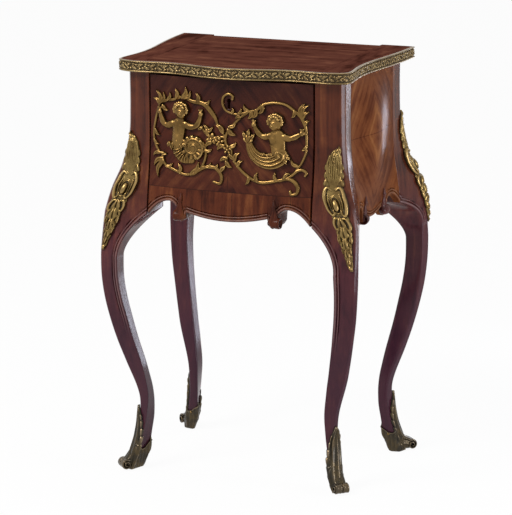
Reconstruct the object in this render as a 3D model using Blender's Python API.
"""Serpentine bedside commode: one deep drawer on four cabriole legs, with gilt-brass mounts.

Metres, +Z up. The front faces -Y and +X is the right-hand side seen from the front.
A level runs from 0 at the floor to 1 at the springing of the aprons and 2 at the underside of the top.
"""
import math

import bmesh
import bpy
from mathutils import Vector

# Overall heights
LEG_HEIGHT = 0.478
CASE_HEIGHT = 0.2515
TOP_THICKNESS = 0.0205

# Fits
FIT = 0.0003
MOUNT_FIT = 0.0006
DRAWER_SIDE_GAP = 0.0022
DRAWER_TOP_GAP = 0.003
RUNNING_GAP = 0.001

# Case plan: the front corner at the underside of the top, the drawer opening and the back corner
CORNER_X = 0.2055
CORNER_Y = 0.1205
OPENING_HALF = 0.157
OPENING_FRONT = 0.1365
STILE_DEPTH = 0.040
BACK_SHIFT_X = 0.011
BACK_SHIFT_Y = 0.0135
BACK_FOOT_SHIFT_Y = 0.0062
BACK_SHIFT_LEVELS = (0.75, 1.0)
SIDE_HOLLOW = 0.003
SIDE_BULGE = 0.012
PANEL_THICKNESS = 0.012
BACK_THICKNESS = 0.010
BACK_INSET = 0.004

# Legs: sway 0 is under the case corner and 1 is the full swing of the knee
KNEE_OUT = 0.046
KNEE_FORWARD = 0.042
KNEE_LEVEL = 0.837
FOOT_LEVEL = 0.065
ARRIS_CHAMFER = 0.0065
CASE_SWAY = [(1.0, 0.83), (1.165, 0.60), (1.325, 0.28), (1.525, 0.05), (1.725, 0.0), (2.0, 0.0)]
SWAY_OUT = [(0.0, 0.12), (0.065, -0.009), (0.136, -0.174), (0.21, -0.25), (0.29, -0.19), (0.42, 0.25),
            (0.502, 0.48), (0.586, 0.67), (0.669, 0.82), (0.753, 0.90), (0.837, 0.92),
            (0.90, 0.90)] + CASE_SWAY
SWAY_FORWARD = [(0.0, 0.75), (0.065, 0.545), (0.136, 0.27), (0.21, 0.15), (0.29, 0.10), (0.42, 0.38),
                (0.502, 0.64), (0.586, 0.86), (0.669, 1.01), (0.753, 1.10), (0.837, 1.08),
                (0.90, 1.00)] + CASE_SWAY
FACE_WIDTH = [(0.0, 0.017), (0.065, 0.018), (0.136, 0.019), (0.21, 0.0215), (0.27, 0.0255), (0.335, 0.0305),
              (0.42, 0.037), (0.586, 0.0405), (0.669, 0.0411), (0.753, 0.0415), (0.837, 0.0437)]
FACE_TURN = [(0.0, 22.0), (0.21, 19.0), (0.27, 16.4), (0.335, 9.5), (0.42, 4.5), (0.502, 2.5), (0.586, 2.5),
             (0.669, 7.0), (0.753, 12.0), (0.837, 17.0)]
FACE_DEPTH = [(0.0, 0.035), (0.065, 0.035), (0.136, 0.029), (0.21, 0.031), (0.29, 0.028), (0.42, 0.0255),
              (0.545, 0.0265), (0.669, 0.029), (0.837, 0.033)]
HEEL_IN = [(0.0, 0.0125), (0.065, 0.0125), (0.136, 0.0075), (0.21, 0.004), (0.29, 0.0), (0.42, -0.001),
           (0.837, 0.0)]
OUTER_DEPTH_SHARE = 0.7
OUTER_BACK_IN = 0.0075
STILE_FLARE = 0.4
FRONT_ARCH_POWER = 2.0
INNER_ARCH_POWER = 1.6
OUTER_ARCH_POWER = 4.0
FACE_PARTS = 5
STILE_LEVELS = [2.0, 1.75, 1.57, 1.42, 1.29, 1.17, 1.08, 1.0]
ARCH_STEPS = 6
LEG_LEVELS = [0.75, 0.67, 0.59, 0.51, 0.43, 0.35, 0.28, 0.21, 0.15, 0.105, FOOT_LEVEL]

# Drawer
DRAWER_BULGE = 0.0105
APRON_FORWARD = 0.019
DRAWER_BACK_PLANE = 0.120
DRAWER_INSET = 0.007
DRAWER_WALL = 0.010
DRAWER_SIDE_HEIGHT = 0.173
DRAWER_FLOOR = 0.006
DRAWER_ROWS = 12
EDGE_MARGIN = 0.004
APRON_CENTRE_DROP = -0.003
APRON_CENTRE_RISE = 0.010
APRON_ARCH_RISE = 0.028
APRON_ARCH_AT = 0.112
SCROLL_AT = 0.087
SCROLL_HALF = 0.0095
SCROLL_DROP = 0.006
SCROLL_RISE = 0.012
ARCH_FALL = 0.35
SIDE_APRON_DROP = 0.009
SIDE_SCROLL_AT = 0.043
SIDE_ARCH_AT = 0.062

# Carcase inside
BOTTOM_RISE = 0.034
BOTTOM_THICKNESS = 0.008
RUNNER_HEIGHT = 0.0065
RUNNER_WIDTH = 0.041
GUIDE_WIDTH = 0.013
GUIDE_HEIGHT = 0.020
KICKER_WIDTH = 0.030
STOP_SIZE = 0.012
STOP_LENGTH = 0.010
STOP_AT = 0.100

# Top: half of the outer plan of the rim, from the middle of the front round the corner to the back
TOP_PLAN = [(0.0, -0.1636), (0.045, -0.1580), (0.085, -0.1475), (0.122, -0.1425), (0.150, -0.1450),
            (0.178, -0.1465), (0.200, -0.1425), (0.2150, -0.1335), (0.2185, -0.1180), (0.2165, -0.0980),
            (0.2125, -0.0690), (0.2110, -0.0350), (0.2130, 0.0), (0.2180, 0.0400), (0.2225, 0.0800),
            (0.2262, 0.1250), (0.2275, 0.1700)]
PLAN_STEPS = 4
CORNER_POINT = 6
RIM_THICKNESS = 0.010
RIM_PROFILE = [(0.0040, 1.0), (0.0014, 0.82), (0.0, 0.50), (0.0010, 0.20), (0.0030, 0.0)]
END_BOARD_AT = 0.165
TOP_SHRINKAGE = 0.0115

# Drawer lock
KEYHOLE_DROP = 0.0395
KEYHOLE_RADIUS = 0.0042
KEYHOLE_LENGTH = 0.014
KEYHOLE_SLOT = 0.005
KEYHOLE_THROAT = 50.0
KEYHOLE_POINTS = 10
KEYHOLE_REACH = 0.060
LOCK_WIDTH = 0.050
LOCK_HEIGHT = 0.050
LOCK_DEPTH = 0.010
LOCK_TOP_DROP = 0.010
BOLT_WIDTH = 0.018
BOLT_THICKNESS = 0.005
BOLT_LENGTH = 0.030
STRIKE_WIDTH = 0.044
STRIKE_DEPTH = 0.016
STRIKE_THICKNESS = 0.0013
MORTISE_DEPTH = 0.010
SCREW_INSET = 0.006

# Mounts
SABOT_WALL = 0.0024
LEAF_STEP = 0.0004
SABOT_FRONT_LEVEL = 0.235
SABOT_HEEL_LEVEL = 0.105
SABOT_PIN_AT = 0.006
LEAF_SPREAD = 0.75
LEAF_TIP = 0.1
SOLE_OUT = 0.0083
SOLE_FORWARD = 0.0042
SOLE_SHARE = 0.7
SOLE_STEPS = [0.0, 0.35, 0.7, 1.0]
TOE_OUT = 0.0208
TOE_FORWARD = 0.0192
TOE_RADIUS = 0.0085
TOE_LENGTH = 0.022
TOE_ROUNDING = 0.003
KNEE_MOUNT_RELIEF = 0.010
KNEE_MOUNT_EDGE = 0.0025
KNEE_MOUNT_INSET = 0.0075
KNEE_MOUNT = [(0.828, 0.008), (0.86, 0.013), (0.92, 0.026), (1.04, 0.040), (1.17, 0.047), (1.35, 0.036),
              (1.46, 0.026), (1.54, 0.012)]
BACK_MOUNT_SHARE = 0.30
BACK_MOUNT_RAISE = 0.04
BACK_MOUNT_RELIEF = 0.006
PIN_RADIUS = 0.0012
PIN_HEAD_RADIUS = 0.0026
PIN_HEAD = 0.0014
PIN_DEPTH = 0.010
PIN_SIDES = 8
RELIEF_CELL = 0.0056
RELIEF_BASE = 0.0022

# Drawer mounts: centre lines and half widths of the cast vines, figures and leaves; the points are
# (share of the half opening, share of the case height above the springing)
LEFT_MOUNT = [
    ([(-0.847, 0.795), (-0.930, 0.644), (-0.911, 0.505), (-0.803, 0.429)], 0.0045),
    ([(-0.803, 0.429), (-0.764, 0.354), (-0.516, 0.310), (-0.306, 0.362), (-0.146, 0.366),
      (-0.070, 0.302)], 0.0045),
    ([(-0.847, 0.795), (-0.561, 0.843), (-0.312, 0.815), (-0.166, 0.724), (-0.134, 0.676)], 0.0045),
    ([(-0.306, 0.362), (-0.274, 0.473), (-0.306, 0.529)], 0.0045),
    ([(-0.580, 0.740), (-0.580, 0.755)], 0.012),
    ([(-0.592, 0.684), (-0.624, 0.513)], 0.012),
    ([(-0.624, 0.656), (-0.783, 0.644), (-0.834, 0.720)], 0.0055),
    ([(-0.573, 0.664), (-0.389, 0.656), (-0.338, 0.732)], 0.0055),
    ([(-0.624, 0.501), (-0.586, 0.437), (-0.471, 0.414)], 0.010),
    ([(-0.452, 0.493), (-0.420, 0.501)], 0.020),
]
RIGHT_MOUNT = [
    ([(0.280, 0.787), (0.490, 0.847), (0.682, 0.835), (0.847, 0.759), (0.911, 0.608),
      (0.854, 0.433)], 0.0045),
    ([(0.854, 0.433), (0.707, 0.334), (0.401, 0.294), (0.204, 0.350)], 0.0045),
    ([(0.732, 0.334), (0.828, 0.278), (0.803, 0.227)], 0.0045),
    ([(0.567, 0.724), (0.567, 0.740)], 0.013),
    ([(0.580, 0.668), (0.605, 0.473)], 0.014),
    ([(0.522, 0.620), (0.369, 0.620), (0.312, 0.688)], 0.0060),
    ([(0.637, 0.624), (0.764, 0.612), (0.904, 0.644)], 0.0060),
    ([(0.599, 0.465), (0.497, 0.417), (0.363, 0.425), (0.255, 0.485), (0.217, 0.557)], 0.010),
    ([(0.217, 0.557), (0.293, 0.656)], 0.008),
]
CENTRE_MOUNT = [
    ([(0.191, 0.787), (0.025, 0.755), (-0.083, 0.803), (-0.076, 0.871), (-0.025, 0.887)], 0.0040),
    ([(0.025, 0.755), (-0.038, 0.644), (-0.013, 0.509)], 0.0055),
    ([(-0.191, 0.569), (-0.006, 0.509)], 0.011),
    ([(-0.038, 0.644), (0.076, 0.612)], 0.007),
    ([(-0.006, 0.509), (0.038, 0.445), (0.115, 0.398)], 0.0055),
]

TOP_UNDERSIDE = LEG_HEIGHT + CASE_HEIGHT
HEIGHT = TOP_UNDERSIDE + TOP_THICKNESS
STILE_BACK = -(CORNER_Y - STILE_DEPTH)
BACK_STILE_FRONT = -STILE_BACK + BACK_SHIFT_Y
BOTTOM_Z = LEG_HEIGHT + BOTTOM_RISE
BOTTOM_TOP = BOTTOM_Z + BOTTOM_THICKNESS
RUNNER_TOP = BOTTOM_TOP + FIT + RUNNER_HEIGHT
DRAWER_Z = RUNNER_TOP + FIT
BACK_OUTER = OPENING_FRONT + BACK_SHIFT_Y - BACK_INSET
BACK_INNER = BACK_OUTER - BACK_THICKNESS
DRAWER_HALF = OPENING_HALF - DRAWER_INSET
DRAWER_REAR = BACK_INNER - STOP_LENGTH - 2 * FIT
EDGE_POINT, SIDE_POINT, OUTER_BACK_POINT, INNER_BACK_POINT = range(FACE_PARTS, FACE_PARTS + 4)
CUFF_SPOTS = [(INNER_BACK_POINT, 0.4), (0, 0.0), (2, 0.0), (EDGE_POINT, 0.0), (SIDE_POINT, 0.0),
              (SIDE_POINT, 0.5), (OUTER_BACK_POINT, 0.0), (OUTER_BACK_POINT, 0.6)]
KEYHOLE_Z = TOP_UNDERSIDE - KEYHOLE_DROP

WOOD = ("veneer", (0.16, 0.045, 0.020, 1.0), 0.32, 0.0)
TOP_WOOD = ("top_veneer", (0.17, 0.045, 0.024, 1.0), 0.30, 0.0)
INNER_WOOD = ("inner_oak", (0.36, 0.22, 0.11, 1.0), 0.60, 0.0)
BRASS = ("gilt_brass", (0.50, 0.34, 0.10, 1.0), 0.38, 1.0)
STEEL = ("lock_steel", (0.30, 0.29, 0.27, 1.0), 0.45, 1.0)


def clear_scene():
    for item in list(bpy.data.objects):
        bpy.data.objects.remove(item, do_unlink=True)


def finish_material(name, finish):
    """A piece's own material, from its kind of finish."""
    material = bpy.data.materials.new(name + "_" + finish[0])
    material.use_nodes = True
    shader = material.node_tree.nodes["Principled BSDF"]
    shader.inputs["Base Color"].default_value = finish[1]
    shader.inputs["Roughness"].default_value = finish[2]
    shader.inputs["Metallic"].default_value = finish[3]
    return material


def make_piece(name, mesh_data, finish, frame):
    """Turn a bmesh into a named piece with outward faces, parented to the case frame."""
    bmesh.ops.recalc_face_normals(mesh_data, faces=mesh_data.faces)
    mesh = bpy.data.meshes.new(name)
    mesh_data.to_mesh(mesh)
    mesh_data.free()
    piece = bpy.data.objects.new(name, mesh)
    bpy.context.scene.collection.objects.link(piece)
    mesh.materials.append(finish_material(name, finish))
    piece.parent = frame
    return piece


def smooth(stations, level):
    """Cubic through the stations (level, value), with the slopes of their neighbours."""
    last = len(stations) - 1
    if level <= stations[0][0]:
        return stations[0][1]
    if level >= stations[last][0]:
        return stations[last][1]
    k = next(i for i in range(last) if level <= stations[i + 1][0])

    def slope(i):
        a, b = stations[max(i - 1, 0)], stations[min(i + 1, last)]
        return (b[1] - a[1]) / (b[0] - a[0])

    (x0, v0), (x1, v1) = stations[k], stations[k + 1]
    span = x1 - x0
    t = (level - x0) / span
    return ((2 * t**3 - 3 * t**2 + 1) * v0 + (t**3 - 2 * t**2 + t) * span * slope(k)
            + (3 * t**2 - 2 * t**3) * v1 + (t**3 - t**2) * span * slope(k + 1))


def level_z(level):
    return level * LEG_HEIGHT if level <= 1.0 else LEG_HEIGHT + (level - 1.0) * CASE_HEIGHT


def z_level(z):
    return z / LEG_HEIGHT if z <= LEG_HEIGHT else 1.0 + (z - LEG_HEIGHT) / CASE_HEIGHT


def opening_y(level):
    """The front surface beside the drawer, which swells forward towards the apron."""
    return -OPENING_FRONT - APRON_FORWARD * smooth(SWAY_FORWARD, level) / smooth(SWAY_FORWARD, 1.0)


def arris(level):
    return Vector((CORNER_X + KNEE_OUT * smooth(SWAY_OUT, level),
                   -CORNER_Y - KNEE_FORWARD * smooth(SWAY_FORWARD, level)))


def leg_corners(level):
    """Front inner, arris, outer back and inner back corner of the right front leg."""
    outer = arris(level)
    turn = math.radians(smooth(FACE_TURN, level))
    width, depth = smooth(FACE_WIDTH, level), smooth(FACE_DEPTH, level)
    inner = outer - Vector((math.cos(turn), math.sin(turn))) * width
    return [inner, outer, outer + Vector((-OUTER_BACK_IN, depth * OUTER_DEPTH_SHARE)),
            inner + Vector((-smooth(HEEL_IN, level), depth))]


def side_flare(level):
    """How far the sides of the case lean out towards the knees, behind the arris."""
    return STILE_FLARE * KNEE_OUT * smooth(SWAY_OUT, level)


def stile_corners(level):
    outer_back = Vector((CORNER_X - SIDE_HOLLOW + side_flare(level), STILE_BACK))
    inner, rear = Vector((OPENING_HALF, opening_y(level))), Vector((OPENING_HALF, STILE_BACK))
    return [inner, arris(level), outer_back, rear]


def corners(level):
    """Stile above the springing, leg below the knee and an arch between them, tighter on the outside."""
    if level >= 1.0:
        return stile_corners(level)
    if level <= KNEE_LEVEL:
        return leg_corners(level)
    u = (level - KNEE_LEVEL) / (1.0 - KNEE_LEVEL)
    knee, spring = leg_corners(KNEE_LEVEL), stile_corners(1.0)
    inner = knee[0].lerp(spring[0], u**FRONT_ARCH_POWER)
    inner.y = spring[0].y * u + knee[0].y * (1.0 - u)
    return [inner, arris(level), knee[2].lerp(spring[2], u**OUTER_ARCH_POWER),
            knee[3].lerp(spring[3], u**INNER_ARCH_POWER)]


def chamfered(ring):
    inner, outer, back, rear = ring
    edge = outer + (inner - outer).normalized() * ARRIS_CHAMFER
    face = [inner.lerp(edge, i / FACE_PARTS) for i in range(FACE_PARTS + 1)]
    return face + [outer + (back - outer).normalized() * ARRIS_CHAMFER, back, rear]


def leg_levels():
    arch = [1.0 - (1.0 - KNEE_LEVEL) * (i + 1) / ARCH_STEPS for i in range(ARCH_STEPS)]
    return STILE_LEVELS + arch + LEG_LEVELS


def front_ring(level):
    """The front leg's outline at any level, straight between the levels that the leg is made of."""
    levels = leg_levels()
    level = min(max(level, levels[-1]), levels[0])
    k = next(i for i in range(len(levels) - 1) if level >= levels[i + 1])
    share = (levels[k] - level) / (levels[k] - levels[k + 1])
    above, below = chamfered(corners(levels[k])), chamfered(corners(levels[k + 1]))
    return [a.lerp(b, share) for a, b in zip(above, below)]


def to_corner(point, level, side, back):
    """Carry a plan point of the right front leg to any of the four corners."""
    if back:
        low, high = BACK_SHIFT_LEVELS
        share = min(max((level - low) / (high - low), 0.0), 1.0)
        shift_y = BACK_FOOT_SHIFT_Y + (BACK_SHIFT_Y - BACK_FOOT_SHIFT_Y) * share
        point = Vector((point.x + BACK_SHIFT_X, -point.y + shift_y))
    return Vector((side * point.x, point.y))


def loft(rings):
    """Closed solid through rings of equal count."""
    mesh = bmesh.new()
    rows = [[mesh.verts.new(p) for p in ring] for ring in rings]
    count = len(rows[0])
    for low, high in zip(rows, rows[1:]):
        for i in range(count):
            mesh.faces.new((low[i], low[(i + 1) % count], high[(i + 1) % count], high[i]))
    mesh.faces.new(rows[0])
    mesh.faces.new(rows[-1])
    return mesh


def slab(outer, inner):
    """Closed solid between two grids of points, rows by columns."""
    mesh = bmesh.new()
    faces = []
    for grid in (outer, inner):
        faces.append([[mesh.verts.new(p) for p in row] for row in grid])
    rows, cols = len(outer), len(outer[0])
    for grid in faces:
        for r in range(rows - 1):
            for c in range(cols - 1):
                mesh.faces.new((grid[r][c], grid[r][c + 1], grid[r + 1][c + 1], grid[r + 1][c]))
    a, b = faces
    for r in range(rows - 1):
        for c in (0, cols - 1):
            mesh.faces.new((a[r][c], a[r + 1][c], b[r + 1][c], b[r][c]))
    for c in range(cols - 1):
        for r in (0, rows - 1):
            mesh.faces.new((a[r][c], a[r][c + 1], b[r][c + 1], b[r][c]))
    return mesh


def box(low, high):
    (x0, y0, z0), (x1, y1, z1) = low, high
    return loft([[(x0, y0, z), (x1, y0, z), (x1, y1, z), (x0, y1, z)] for z in (z0, z1)])


def prism(outline, z0, z1):
    """Upright solid on a plan outline."""
    return loft([[(p[0], p[1], z) for p in outline] for z in (z0, z1)])


def turned(seat, axis, profile):
    """Round solid about an axis from its seat; the profile gives (radius, distance along the axis)."""
    axis = axis.normalized()
    across = axis.orthogonal().normalized()
    other = axis.cross(across)
    turns = [2.0 * math.pi * i / PIN_SIDES for i in range(PIN_SIDES)]
    spokes = [across * math.cos(a) + other * math.sin(a) for a in turns]
    return loft([[seat + axis * along + spoke * radius for spoke in spokes] for radius, along in profile])


def cut(piece, mesh_data, name, operation="DIFFERENCE"):
    """Apply a Boolean with a hidden tool that stays beside the piece."""
    tool = make_piece(name, mesh_data, INNER_WOOD, piece.parent)
    tool.hide_render = True
    tool.display_type = "WIRE"
    modifier = piece.modifiers.new(name, "BOOLEAN")
    modifier.operation = operation
    modifier.solver = "EXACT"
    modifier.object = tool


def leg(name, side, back, frame):
    rings = []
    for level in leg_levels():
        z = level_z(level) - (FIT if level == STILE_LEVELS[0] else 0.0)
        plan = [to_corner(p, level, side, back) for p in front_ring(level)]
        rings.append([(p.x, p.y, z) for p in plan])
    return make_piece(name, loft(rings), WOOD, frame)


def drawer_surface(x, z):
    level = z_level(z)
    return opening_y(level) - DRAWER_BULGE * (1.0 - (x / OPENING_HALF) ** 2)


def apron_edge(offset, half, scroll_at, arch_at):
    """Height of an apron's lower edge above the springing: pendant, scroll and arch from the middle out."""
    d = abs(offset)
    pendant_end, arch_start = scroll_at - SCROLL_HALF, scroll_at + SCROLL_HALF
    if d <= pendant_end:
        return -APRON_CENTRE_DROP + APRON_CENTRE_RISE * (d / pendant_end) ** 2
    if d < arch_start:
        return -SCROLL_DROP + SCROLL_RISE * ((d - scroll_at) / SCROLL_HALF) ** 2
    rise = (half - d) / (half - arch_at)
    return APRON_ARCH_RISE * (1.0 - (1.0 - min(rise, 1.0)) ** 2) if d >= arch_at else APRON_ARCH_RISE * (
        1.0 - ARCH_FALL * ((arch_at - d) / (arch_at - arch_start)) ** 2)


def apron_stations(half, scroll_at, arch_at):
    """Distances from the middle at which an apron's edge needs a point."""
    near, far = scroll_at - SCROLL_HALF, scroll_at + SCROLL_HALF
    quarter, hair = SCROLL_HALF / 3.0, SCROLL_HALF / 10.0
    stations = [near * share for share in (0.0, 0.35, 0.7)]
    stations += [near - hair, near + quarter, scroll_at, far - quarter, far + hair, arch_at]
    return stations + [arch_at + (half - arch_at) * share for share in (0.35, 0.7, 1.0)]


def mirrored(stations):
    return [-s for s in reversed(stations[1:])] + stations


def drawer_front(frame):
    half = OPENING_HALF - DRAWER_SIDE_GAP
    top = TOP_UNDERSIDE - DRAWER_TOP_GAP
    low = LEG_HEIGHT + APRON_ARCH_RISE + EDGE_MARGIN
    rows = [low + (top - low) * i / (DRAWER_ROWS - 1) for i in range(DRAWER_ROWS)]
    columns = mirrored(apron_stations(half, SCROLL_AT, APRON_ARCH_AT))
    outer, inner = [], []
    for k in range(len(rows) + 1):
        outer.append([])
        inner.append([])
        for x in columns:
            z = rows[k - 1] if k else LEG_HEIGHT + apron_edge(x, half, SCROLL_AT, APRON_ARCH_AT)
            outer[-1].append((x, drawer_surface(x, z), z))
            inner[-1].append((x, -DRAWER_BACK_PLANE, z))
    front = make_piece("drawer_front", slab(outer, inner), WOOD, frame)
    cut(front, keyhole_outline(), "keyhole_cutter")
    return front


def keyhole_outline():
    """Round-topped key slot as a solid that runs through the drawer front."""
    points = []
    for i in range(KEYHOLE_POINTS):
        angle = math.radians(-KEYHOLE_THROAT + (180.0 + 2.0 * KEYHOLE_THROAT) * i / (KEYHOLE_POINTS - 1))
        points.append((KEYHOLE_RADIUS * math.cos(angle), KEYHOLE_RADIUS * math.sin(angle)))
    points += [(-KEYHOLE_SLOT / 2, -KEYHOLE_LENGTH), (KEYHOLE_SLOT / 2, -KEYHOLE_LENGTH)]
    ends = (bolt_y(), -DRAWER_BACK_PLANE - KEYHOLE_REACH)
    return loft([[(x, y, KEYHOLE_Z + z) for x, z in points] for y in ends])


def side_surface(share, level):
    """Outer x of the right side panel: stile to stile, hollow below and swelling at mid height."""
    ends = corners(level)[2].x + BACK_SHIFT_X * share
    hold = (2.0 * share - 1.0) ** 2
    swell = math.sin(math.pi * share) ** 2 * math.sin(math.pi * min(level - 1.0, 1.0))
    return ends - side_flare(level) * (1.0 - hold) + SIDE_BULGE * swell


def side_panel(name, side, frame):
    start, end = STILE_BACK + FIT, BACK_STILE_FRONT - FIT
    middle, half = (start + end) / 2.0, (end - start) / 2.0
    columns = mirrored(apron_stations(half, SIDE_SCROLL_AT, SIDE_ARCH_AT))
    levels = [v for v in STILE_LEVELS if level_z(v) > LEG_HEIGHT + APRON_ARCH_RISE + EDGE_MARGIN]
    outer, inner = [], []
    for k in range(len(levels) + 1):
        outer.append([])
        inner.append([])
        for d in columns:
            drop = SIDE_APRON_DROP * min(1.0, (half - abs(d)) / (half - SIDE_ARCH_AT))
            edge = LEG_HEIGHT - drop + apron_edge(d, half, SIDE_SCROLL_AT, SIDE_ARCH_AT)
            z = min(level_z(levels[-k]), TOP_UNDERSIDE - FIT) if k else edge
            x = side_surface((d + half) / (2.0 * half), max(z_level(z), 1.0))
            outer[-1].append((side * x, middle + d, z))
            inner[-1].append((side * (x - PANEL_THICKNESS), middle + d, z))
    return make_piece(name, slab(outer, inner), WOOD, frame)


def plan_curve():
    """The half plan of the top as a smooth line, with its index at the corner."""
    def at(i):
        if i < 0:
            return Vector((-TOP_PLAN[-i][0], TOP_PLAN[-i][1]))
        return Vector(TOP_PLAN[min(i, len(TOP_PLAN) - 1)])

    points = []
    for i in range(len(TOP_PLAN) - 1):
        p0, p1, p2, p3 = at(i - 1), at(i), at(i + 1), at(i + 2)
        for j in range(PLAN_STEPS):
            t = j / PLAN_STEPS
            points.append(0.5 * (2 * p1 + (p2 - p0) * t + (2 * p0 - 5 * p1 + 4 * p2 - p3) * t * t
                                 + (3 * p1 - p0 - 3 * p2 + p3) * t**3))
    return points + [at(len(TOP_PLAN) - 1)]


def inset(points, distance):
    """Move an open plan line inwards (to its left as it runs from the front middle to the back)."""
    moved = []
    for i, p in enumerate(points):
        before = points[i - 1] if i else p
        if i == 0 and p.x == 0.0:
            before = Vector((-points[1].x, points[1].y))
        ahead = (points[min(i + 1, len(points) - 1)] - before).normalized()
        moved.append(p + Vector((-ahead.y, ahead.x)) * distance)
    return moved


def rim_slab(curve, first, last):
    """Gilt edging along part of the plan line: an ovolo from its top edge to its lower fillet."""
    def line(depth):
        points = inset(curve, depth)[first:last + 1]
        shorten_ends(points, FIT / 2.0)
        return points

    backs = line(RIM_THICKNESS)
    lines = [(line(depth), TOP_UNDERSIDE + TOP_THICKNESS * share) for depth, share in RIM_PROFILE]
    outer = [[(p.x, p.y, z) for p in points] for points, z in lines]
    inner = [[(p.x, p.y, z) for p in backs] for _, z in lines]
    return slab(outer, inner)


def mirror_x(points):
    return [Vector((-p.x, p.y)) for p in points]


def top_pieces(frame):
    curve = plan_curve()
    whole = mirror_x(curve[1:])[::-1] + curve
    corner = CORNER_POINT * PLAN_STEPS + PLAN_STEPS // 2
    middle_point, end_point = len(curve) - 1, len(whole) - 1
    gap = FIT / 2.0
    make_piece("top_rim_left", rim_slab(whole, 0, middle_point - corner), BRASS, frame)
    make_piece("top_rim_front", rim_slab(whole, middle_point - corner, middle_point + corner), BRASS, frame)
    make_piece("top_rim_right", rim_slab(whole, middle_point + corner, end_point), BRASS, frame)
    board = inset(curve, RIM_THICKNESS + FIT)
    back_y = TOP_PLAN[-1][1]
    front = split_at(board, END_BOARD_AT - gap)[0]
    centre = mirror_x(front[1:])[::-1] + front
    rear = [Vector((p.x, back_y - TOP_SHRINKAGE)) for p in centre]
    faces = [[[(p.x, p.y, z) for p in line] for line in (centre, rear)] for z in (HEIGHT, TOP_UNDERSIDE)]
    middle = make_piece("top_centre_board", slab(*faces), TOP_WOOD, frame)
    cut(middle, bolt_mortise(), "bolt_mortise_cutter")
    end = split_at(board, END_BOARD_AT + gap)[1]
    end.append(Vector((END_BOARD_AT + gap, back_y)))
    make_piece("top_right_end_board", prism(end, TOP_UNDERSIDE, HEIGHT), TOP_WOOD, frame)
    make_piece("top_left_end_board", prism(mirror_x(end), TOP_UNDERSIDE, HEIGHT), TOP_WOOD, frame)


def split_at(line, x):
    """Part a plan line where it first passes x; both parts get the point there."""
    k = next(i for i, p in enumerate(line) if p.x >= x)
    share = (x - line[k - 1].x) / (line[k].x - line[k - 1].x)
    meeting = line[k - 1].lerp(line[k], share)
    return line[:k] + [meeting], [meeting] + line[k:]


def shorten_ends(line, gap):
    for end, beside in ((0, 1), (-1, -2)):
        line[end] = line[end] + (line[beside] - line[end]).normalized() * gap


def carcase(frame):
    half = OPENING_HALF + BACK_SHIFT_X - FIT
    ceiling = TOP_UNDERSIDE - FIT
    make_piece("back_panel", box((-half, BACK_INNER, BOTTOM_Z), (half, BACK_OUTER, ceiling)), WOOD, frame)
    shelf = OPENING_HALF - FIT
    make_piece("bottom_board", box((-shelf, -DRAWER_BACK_PLANE + RUNNING_GAP, BOTTOM_Z),
                                   (shelf, BACK_INNER - FIT, BOTTOM_TOP)), INNER_WOOD, frame)
    front, rear = STILE_BACK + RUNNING_GAP, BACK_STILE_FRONT - RUNNING_GAP
    floor = BOTTOM_TOP + FIT
    for word, side in (("left", -1), ("right", 1)):
        guide_x = side * (DRAWER_HALF + RUNNING_GAP)
        wide_x = side * (DRAWER_HALF + RUNNING_GAP + GUIDE_WIDTH)
        runner_x = wide_x - side * RUNNER_WIDTH
        make_piece("drawer_runner_" + word,
                   box_between(runner_x, wide_x, front, rear, floor, RUNNER_TOP), INNER_WOOD, frame)
        make_piece("drawer_guide_" + word, box_between(guide_x, wide_x, front, rear, RUNNER_TOP + FIT,
                                                       RUNNER_TOP + FIT + GUIDE_HEIGHT), INNER_WOOD, frame)
        kicker_x = side * DRAWER_HALF
        make_piece("drawer_kicker_" + word,
                   box_between(kicker_x - side * KICKER_WIDTH, kicker_x, front, BACK_INNER - FIT,
                               DRAWER_Z + DRAWER_SIDE_HEIGHT + RUNNING_GAP, ceiling), INNER_WOOD, frame)
        stop_x = side * STOP_AT
        make_piece("drawer_stop_" + word,
                   box_between(stop_x - STOP_SIZE / 2, stop_x + STOP_SIZE / 2, DRAWER_REAR + FIT,
                               BACK_INNER - FIT, floor, floor + STOP_SIZE), INNER_WOOD, frame)


def box_between(x0, x1, y0, y1, z0, z1):
    return box((min(x0, x1), y0, z0), (max(x0, x1), y1, z1))


def drawer_box(frame):
    front = -DRAWER_BACK_PLANE + FIT
    inside = DRAWER_HALF - DRAWER_WALL
    top = DRAWER_Z + DRAWER_SIDE_HEIGHT
    for word, side in (("left", -1), ("right", 1)):
        make_piece("drawer_side_" + word, box_between(side * inside, side * DRAWER_HALF, front, DRAWER_REAR,
                                                      DRAWER_Z, top), INNER_WOOD, frame)
    inner = inside - FIT
    floor_z = DRAWER_Z + FIT
    make_piece("drawer_bottom", box((-inner, front, floor_z), (inner, DRAWER_REAR, floor_z + DRAWER_FLOOR)),
               INNER_WOOD, frame)
    make_piece("drawer_back", box((-inner, DRAWER_REAR - DRAWER_WALL, DRAWER_Z + DRAWER_FLOOR + 2 * FIT),
                                  (inner, DRAWER_REAR, top)), INNER_WOOD, frame)


def bolt_y():
    return -DRAWER_BACK_PLANE + FIT + LOCK_DEPTH / 2.0


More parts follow.
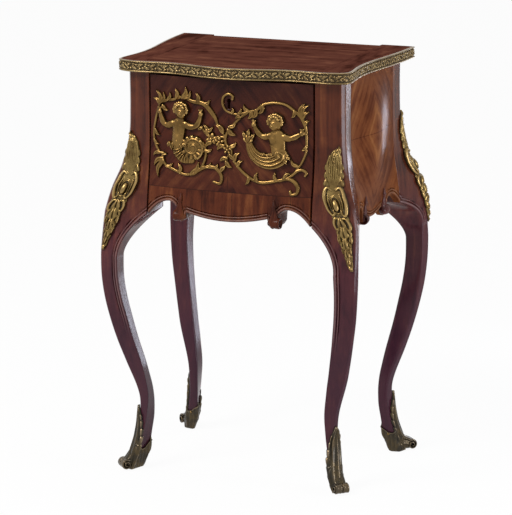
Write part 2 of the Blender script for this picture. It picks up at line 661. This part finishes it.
def drawer_lock(front, frame):
    top = TOP_UNDERSIDE - LOCK_TOP_DROP
    face = -DRAWER_BACK_PLANE + FIT
    case = make_piece("lock_case", box((-LOCK_WIDTH / 2, face, top - LOCK_HEIGHT),
                                       (LOCK_WIDTH / 2, face + LOCK_DEPTH, top)), STEEL, frame)
    bolt_top = TOP_UNDERSIDE - DRAWER_TOP_GAP
    bolt_bottom = bolt_top - BOLT_LENGTH
    half_w, half_t = BOLT_WIDTH / 2, BOLT_THICKNESS / 2
    cut(case, box((-half_w - FIT, bolt_y() - half_t - FIT, bolt_bottom - FIT),
                  (half_w + FIT, bolt_y() + half_t + FIT, TOP_UNDERSIDE)), "bolt_channel_cutter")
    cut(case, keyhole_outline(), "lock_keyhole_cutter")
    for word, side in (("left", -1), ("right", 1)):
        seat = Vector((side * (LOCK_WIDTH / 2 - SCREW_INSET), face, top - LOCK_HEIGHT + SCREW_INSET))
        fastener("lock_screw_" + word, seat, Vector((0.0, 1.0, 0.0)), LOCK_DEPTH, (case, front), STEEL,
                 frame)
    bolt = make_piece("lock_bolt", box((-half_w, bolt_y() - half_t, bolt_bottom),
                                       (half_w, bolt_y() + half_t, bolt_top)), STEEL, frame)
    slide_origin(bolt, (0.0, bolt_y(), bolt_bottom))
    plate_top = TOP_UNDERSIDE - FIT
    plate = make_piece("lock_strike_plate",
                       box((-STRIKE_WIDTH / 2, bolt_y() - STRIKE_DEPTH / 2, plate_top - STRIKE_THICKNESS),
                           (STRIKE_WIDTH / 2, bolt_y() + STRIKE_DEPTH / 2, plate_top)), BRASS, frame)
    cut(plate, bolt_mortise(), "strike_slot_cutter")
    return case


def bolt_mortise():
    """The space that the bolt shoots into, above and below the underside of the top."""
    x, y = BOLT_WIDTH / 2 + RUNNING_GAP, BOLT_THICKNESS / 2 + RUNNING_GAP
    low, high = TOP_UNDERSIDE - MORTISE_DEPTH, TOP_UNDERSIDE + MORTISE_DEPTH
    return box((-x, bolt_y() - y, low), (x, bolt_y() + y, high))


def fastener(name, seat, outward, height, held, finish, frame):
    """Headed pin through a piece of the given height on the seat into the one behind, with its holes."""
    lift = height + PIN_HEAD / 2.0

    def profile(grow):
        under_head = lift - PIN_HEAD - grow
        return [(PIN_HEAD_RADIUS + grow, lift + grow), (PIN_HEAD_RADIUS + grow, under_head),
                (PIN_RADIUS + grow, under_head), (PIN_RADIUS + grow, -PIN_DEPTH - grow)]

    make_piece(name, turned(seat, outward, profile(0.0)), finish, frame)
    for piece in held:
        cut(piece, turned(seat, outward, profile(FIT)), name + "_hole_in_" + piece.name)


def offset_ring(ring, distance):
    """Grow a convex plan ring (anticlockwise) by a distance on every side."""
    grown = []
    count = len(ring)
    for i, p in enumerate(ring):
        before, after = (p - ring[i - 1]).normalized(), (ring[(i + 1) % count] - p).normalized()
        n0, n1 = Vector((before.y, -before.x)), Vector((after.y, -after.x))
        grown.append(p + (n0 + n1) * (distance / (1.0 + n0.dot(n1))))
    return grown


def along_ring(ring, start, distance):
    """Point on the closed ring at a distance from a corner, walking forwards (or backwards if negative)."""
    step = 1 if distance >= 0.0 else -1
    left, i = abs(distance), start
    while True:
        a, b = ring[i % len(ring)], ring[(i + step) % len(ring)]
        if left <= (b - a).length:
            return a + (b - a).normalized() * left
        left -= (b - a).length
        i += step


def corner_grid(level_rows, columns_at, height_at, side, back):
    """Two grids on a leg: the seat just off its surface, and the face raised above it."""
    seat, face = [], []
    for row, level in enumerate(level_rows):
        ring = front_ring(level)
        base = offset_ring(ring, MOUNT_FIT)
        z = level_z(level)
        seat.append([])
        face.append([])
        columns = columns_at(level)
        for c, (start, distance) in enumerate(columns):
            raised = offset_ring(ring, MOUNT_FIT + height_at(row, c, len(columns)))
            for grid, shape in ((seat, base), (face, raised)):
                point = to_corner(along_ring(shape, start, distance), level, side, back)
                grid[-1].append((point.x, point.y, z))
    return face, seat


def knee_mount(corner, side, back, leg_piece, frame):
    """Leaf and shell plaque on a knee: on the front face in front, round the arris behind."""
    raised, relief = (BACK_MOUNT_RAISE, BACK_MOUNT_RELIEF) if back else (0.0, KNEE_MOUNT_RELIEF)
    low, high = KNEE_MOUNT[0][0] + raised, KNEE_MOUNT[-1][0] + raised
    rows = [high] + [level for level in leg_levels() if low < level < high] + [low]

    def columns_at(level):
        width = smooth(KNEE_MOUNT, level - raised)
        if not back:
            shares = (1.0, 0.75, 0.5, 0.25, 0.0)
            return [(EDGE_POINT, -(KNEE_MOUNT_INSET + width * share)) for share in shares]
        onto_side, onto_back = width * BACK_MOUNT_SHARE, width * (1.0 - BACK_MOUNT_SHARE)
        return [(EDGE_POINT, -onto_back), (EDGE_POINT, -onto_back / 2.0), (EDGE_POINT, 0.0),
                (SIDE_POINT, 0.0), (SIDE_POINT, onto_side)]

    def height_at(row, column, count):
        across = math.sin(math.pi * column / (count - 1))
        along = math.sin(math.pi * (row + 1) / (len(rows) + 1)) ** 0.5
        return KNEE_MOUNT_EDGE + relief * across * along

    face, seat = corner_grid(rows, columns_at, height_at, side, back)
    mount = make_piece(corner + "_knee_mount", slab(face, seat), BRASS, frame)
    row, column = len(rows) // 2, 1 if back else 2
    columns = columns_at(rows[row])
    corner_pin(corner + "_knee_pin", rows[row], columns[column], height_at(row, column, len(columns)),
               side, back, (mount, leg_piece), frame)
    return mount


def corner_pin(name, level, spot, height, side, back, held, frame):
    """Pin a mount to its leg at a spot (corner of the outline, distance along it)."""
    ring = front_ring(level)
    base, raised = (to_corner(along_ring(offset_ring(ring, grow), *spot), level, side, back)
                    for grow in (MOUNT_FIT, MOUNT_FIT + height))
    outward = raised - base
    seat = Vector((base.x, base.y, level_z(level)))
    fastener(name, seat, Vector((outward.x, outward.y, 0.0)), height, held, BRASS, frame)


def sabot(corner, side, back, leg_piece, frame):
    """Leaf shoe: a cuff round the foot, a leaf that climbs its front and a solid toe that it stands in."""
    levels = sorted(LEG_LEVELS)
    cuff_rows = levels[:levels.index(SABOT_HEEL_LEVEL) + 1]
    leaf_rows = [level for level in levels if level < SABOT_FRONT_LEVEL] + [SABOT_FRONT_LEVEL]
    name = corner + "_sabot"
    shoe = make_piece(name, foot_wrap(cuff_rows, lambda row: CUFF_SPOTS, 0.0, side, back), BRASS, frame)

    def leaf_spots(row):
        spread = LEAF_SPREAD * (1.0 - row / len(leaf_rows)) + LEAF_TIP
        return [(EDGE_POINT - 1, 1.0 - spread), (EDGE_POINT, 0.0), (SIDE_POINT, 0.0),
                (SIDE_POINT, spread / 2.0)]

    cut(shoe, foot_wrap(leaf_rows, leaf_spots, LEAF_STEP, side, back), name + "_leaf_tool", "UNION")
    cut(shoe, toe_block(side, back), name + "_sole_tool", "UNION")
    cut(shoe, toe_roll(side, back), name + "_toe_tool", "UNION")
    pin_level = (cuff_rows[0] + cuff_rows[-1]) / 2.0
    corner_pin(corner + "_sabot_pin", pin_level, (OUTER_BACK_POINT, SABOT_PIN_AT), SABOT_WALL, side, back,
               (shoe, leg_piece), frame)
    return shoe


def foot_wrap(rows, spots_at, lift, side, back):
    """Shell on the foot at given levels; a spot is a corner of the outline and a share of the way on."""
    face, seat = [], []
    heights = [level_z(rows[0]) - SABOT_WALL] + [level_z(level) for level in rows]
    for row, (level, z) in enumerate(zip(rows[:1] + rows, heights)):
        ring = front_ring(level)
        for grid, grow in ((seat, MOUNT_FIT + lift), (face, MOUNT_FIT + SABOT_WALL + 2.0 * lift)):
            shape = offset_ring(ring, grow)
            spots = [shape[k].lerp(shape[(k + 1) % len(shape)], share) for k, share in spots_at(row)]
            plan = [to_corner(p, level, side, back) for p in spots]
            grid.append([(p.x, p.y, z) for p in plan])
    return slab(face, seat)


def toe_block(side, back):
    """Solid under the foot that narrows and leans forward to the sole."""
    ring = offset_ring(front_ring(FOOT_LEVEL), MOUNT_FIT + SABOT_WALL)
    middle = foot_middle()
    sole = middle + Vector((SOLE_OUT, -SOLE_FORWARD))
    top = level_z(FOOT_LEVEL) - FIT
    rings = []
    for share in SOLE_STEPS:
        spread = SOLE_SHARE + (1.0 - SOLE_SHARE) * math.sqrt(share)
        centre = sole.lerp(middle, share)
        points = [to_corner(centre + (p - middle) * spread, FOOT_LEVEL, side, back) for p in ring]
        rings.append([(p.x, p.y, top * share) for p in points])
    return loft(rings)


def foot_middle():
    ring = corners(FOOT_LEVEL)
    return sum(ring, Vector((0.0, 0.0))) / len(ring)


def toe_roll(side, back):
    """Curled tip of the shoe, a roll that lies across the diagonal."""
    tip = to_corner(foot_middle() + Vector((TOE_OUT, -TOE_FORWARD)), FOOT_LEVEL, side, back)
    across = Vector((side, -1.0 if back else 1.0, 0.0)).normalized()
    end = TOE_RADIUS - TOE_ROUNDING
    profile = [(end, 0.0), (TOE_RADIUS, TOE_ROUNDING), (TOE_RADIUS, TOE_LENGTH - TOE_ROUNDING)]
    profile.append((end, TOE_LENGTH))
    return turned(Vector((tip.x, tip.y, TOE_RADIUS)) - across * TOE_LENGTH / 2.0, across, profile)


def stroke_height(point, strokes):
    """Height of a rounded relief above the ground at a point, and whether the point lies in it."""
    best = -1.0
    for path, radius in strokes:
        for a, b in zip(path, path[1:]):
            span = b - a
            t = min(max((point - a).dot(span) / span.length_squared, 0.0), 1.0)
            gap = (point - a - span * t).length
            if gap < radius:
                best = max(best, math.sqrt(radius * radius - gap * gap))
    return best


def relief_cells(strokes):
    """Grid cells whose middles lie in a stroke, with corner-only contacts filled in."""
    reach = max(radius for _, radius in strokes)
    points = [p for path, _ in strokes for p in path]
    low = Vector((min(p.x for p in points) - reach, min(p.y for p in points) - reach))
    high = Vector((max(p.x for p in points) + reach, max(p.y for p in points) + reach))
    count_x, count_z = (int(math.ceil(v / RELIEF_CELL)) for v in (high - low))
    cells = set()
    for i in range(count_x):
        for j in range(count_z):
            centre = low + Vector((i + 0.5, j + 0.5)) * RELIEF_CELL
            if stroke_height(centre, strokes) >= 0.0:
                cells.add((i, j))
    changed = True
    while changed:
        changed = False
        for i, j in sorted(cells):
            for dj in (-1, 1):
                if (i + 1, j + dj) in cells and (i + 1, j) not in cells and (i, j + dj) not in cells:
                    cells.add((i + 1, j))
                    changed = True
    return low, cells


def on_drawer(shares):
    return Vector((shares[0] * OPENING_HALF, LEG_HEIGHT + shares[1] * CASE_HEIGHT))


def relief_mount(name, pattern, frame):
    """Cast relief that lies on the curved drawer front."""
    strokes = [([on_drawer(p) for p in path], radius) for path, radius in pattern]
    low, cells = relief_cells(strokes)
    mesh = bmesh.new()
    layers = {}

    def corner(i, j, raised):
        key = (i, j, raised)
        if key not in layers:
            spot = low + Vector((i, j)) * RELIEF_CELL
            lift = MOUNT_FIT + (RELIEF_BASE + max(stroke_height(spot, strokes), 0.0) if raised else 0.0)
            layers[key] = mesh.verts.new((spot.x, drawer_surface(spot.x, spot.y) - lift, spot.y))
        return layers[key]

    for i, j in sorted(cells):
        ring = [(i, j), (i + 1, j), (i + 1, j + 1), (i, j + 1)]
        for raised in (True, False):
            mesh.faces.new([corner(a, b, raised) for a, b in ring])
        for k, step in enumerate(((0, -1), (1, 0), (0, 1), (-1, 0))):
            if (i + step[0], j + step[1]) not in cells:
                a, b = ring[k], ring[(k + 1) % 4]
                mesh.faces.new((corner(*a, True), corner(*b, True), corner(*b, False), corner(*a, False)))
    return make_piece(name, mesh, BRASS, frame)


def slide_origin(piece, origin):
    """Put a sliding piece's origin on its axis without moving its shape."""
    offset = Vector(origin)
    for vert in piece.data.vertices:
        vert.co -= offset
    piece.location = offset


def stand_in_middle(frame):
    """Move the whole so that the origin lies under the middle of its depth."""
    pieces = [piece for piece in frame.children if not piece.hide_render]
    depths = [piece.location.y + v.co.y for piece in pieces for v in piece.data.vertices]
    frame.location.y = -(min(depths) + max(depths)) / 2.0


def build():
    clear_scene()
    frame = bpy.data.objects.new("commode_frame", None)
    bpy.context.scene.collection.objects.link(frame)
    for back, row in ((False, "front"), (True, "back")):
        for side, word in ((-1, "left"), (1, "right")):
            corner = row + "_" + word
            leg_piece = leg(corner + "_leg", side, back, frame)
            knee_mount(corner, side, back, leg_piece, frame)
            sabot(corner, side, back, leg_piece, frame)
    side_panel("left_side_panel", -1, frame)
    side_panel("right_side_panel", 1, frame)
    carcase(frame)
    top_pieces(frame)
    front = drawer_front(frame)
    drawer_box(frame)
    drawer_lock(front, frame)
    relief_mount("drawer_mount_left", LEFT_MOUNT, frame)
    relief_mount("drawer_mount_right", RIGHT_MOUNT, frame)
    relief_mount("drawer_mount_centre", CENTRE_MOUNT, frame)
    stand_in_middle(frame)


build()
